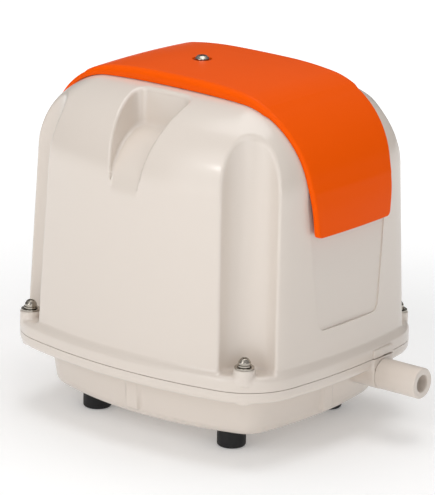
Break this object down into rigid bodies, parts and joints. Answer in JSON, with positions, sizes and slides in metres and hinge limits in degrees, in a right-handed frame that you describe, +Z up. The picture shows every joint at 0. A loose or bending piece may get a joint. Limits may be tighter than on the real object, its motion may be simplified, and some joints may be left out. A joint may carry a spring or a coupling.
{
  "type": "air pump",
  "caption": "Linear diaphragm air pump for ponds: drafted cream housing with corner flutes, orange saddle filter cover, side hose outlet, electromagnetic drive and valve heads inside.",
  "frame": {"origin": "on the ground under the middle of the overall length (outlet pipe included) and of the depth", "axes": "+X along the wide front face, the way the outlet pipe points; +Y from the front to the back; +Z up"},
  "size_m": [0.228, 0.1816, 0.2093],
  "materials": {
    "shell": "glossy cream enamel on cast alloy",
    "orange": "glossy orange",
    "rubber": "matt black",
    "steel": "bright plated",
    "foam": "open-cell",
    "plated": "zinc plated sheet",
    "laminated": "stacked laminations",
    "nylon": "satin",
    "coil": "wound and taped",
    "magnet": "matt grey",
    "black_plastic": "satin black",
    "alloy": "as cast"
  },
  "bodies": {
    "housing": {"upper_housing": "shell", "base_housing": "shell", "outlet_pipe": "shell", "housing_seal": "rubber", "tank_gasket": "rubber", "air_hose_left": "rubber", "air_hose_right": "rubber", "corner_screw_front_left": "steel", "corner_washer_front_left": "steel", "rubber_foot_front_left": "rubber", "vibration_mount_front_left": "rubber", "corner_screw_front_right": "steel", "corner_washer_front_right": "steel", "rubber_foot_front_right": "rubber", "vibration_mount_front_right": "rubber", "corner_screw_rear_left": "steel", "corner_washer_rear_left": "steel", "rubber_foot_rear_left": "rubber", "vibration_mount_rear_left": "rubber", "corner_screw_rear_right": "steel", "corner_washer_rear_right": "steel", "rubber_foot_rear_right": "rubber", "vibration_mount_rear_right": "rubber", "cord_gland": "black_plastic", "terminal_block": "black_plastic", "tank_lid": "alloy", "pump_frame": "plated", "stator_core_front": "laminated", "coil_bobbin_front": "nylon", "coil_front": "coil", "stator_core_rear": "laminated", "coil_bobbin_rear": "nylon", "coil_rear": "coil", "diaphragm_left": "rubber", "head_body_left": "alloy", "head_cover_left": "alloy", "diaphragm_right": "rubber", "head_body_right": "alloy", "head_cover_right": "alloy"},
    "armature": {"magnet_holder": "black_plastic", "magnet_left": "magnet", "magnet_right": "magnet", "drive_stud_left": "steel", "drive_stud_right": "steel", "inner_plate_left": "alloy", "inner_plate_right": "alloy", "outer_plate_left": "alloy", "outer_plate_right": "alloy", "stud_nut_left": "steel", "stud_nut_right": "steel"},
    "cover": {"filter_cover": "orange", "cover_washer": "steel"},
    "cover_screw": {"cover_screw": "steel"},
    "filter": {"filter_element": "foam"},
    "intake_valve_left": {"intake_flap_left": "rubber"},
    "exhaust_valve_left": {"exhaust_flap_left": "rubber"},
    "intake_valve_right": {"intake_flap_right": "rubber"},
    "exhaust_valve_right": {"exhaust_flap_right": "rubber"}
  },
  "joints": [
    {"name": "armature_slide", "type": "slide", "parent": "housing", "child": "armature", "axis": [1, 0, 0], "range_m": [-0.003, 0.003], "stiffness_N_per_m": 4000, "deforming": ["diaphragm_left", "diaphragm_right"]},
    {"name": "cover_lift", "type": "slide", "parent": "housing", "child": "cover", "axis": [0, 0, 1], "range_m": [0, 0.06]},
    {"name": "cover_screw_turn", "type": "hinge", "parent": "cover", "child": "cover_screw", "pos_m": [-0.026, -0.002, 0.2066], "axis": [0, 0, 1], "continuous": true},
    {"name": "filter_lift", "type": "slide", "parent": "housing", "child": "filter", "axis": [0, 0, 1], "range_m": [0, 0.03]},
    {"name": "intake_valve_left_swing", "type": "hinge", "parent": "housing", "child": "intake_valve_left", "pos_m": [-0.0783, 0, 0.125], "axis": [0, -1, 0], "range_deg": [0, 12], "stiffness_Nm_per_rad": 0.0005},
    {"name": "exhaust_valve_left_swing", "type": "hinge", "parent": "housing", "child": "exhaust_valve_left", "pos_m": [-0.0812, 0, 0.094], "axis": [0, 1, 0], "range_deg": [0, 12], "stiffness_Nm_per_rad": 0.0005},
    {"name": "intake_valve_right_swing", "type": "hinge", "parent": "housing", "child": "intake_valve_right", "pos_m": [0.0503, 0, 0.125], "axis": [0, 1, 0], "range_deg": [0, 12], "stiffness_Nm_per_rad": 0.0005},
    {"name": "exhaust_valve_right_swing", "type": "hinge", "parent": "housing", "child": "exhaust_valve_right", "pos_m": [0.0532, 0, 0.094], "axis": [0, -1, 0], "range_deg": [0, 12], "stiffness_Nm_per_rad": 0.0005}
  ],
  "couplings": [
    {"joint": "filter_lift", "follows": "cover_lift", "ratio": 0.5}
  ]
}
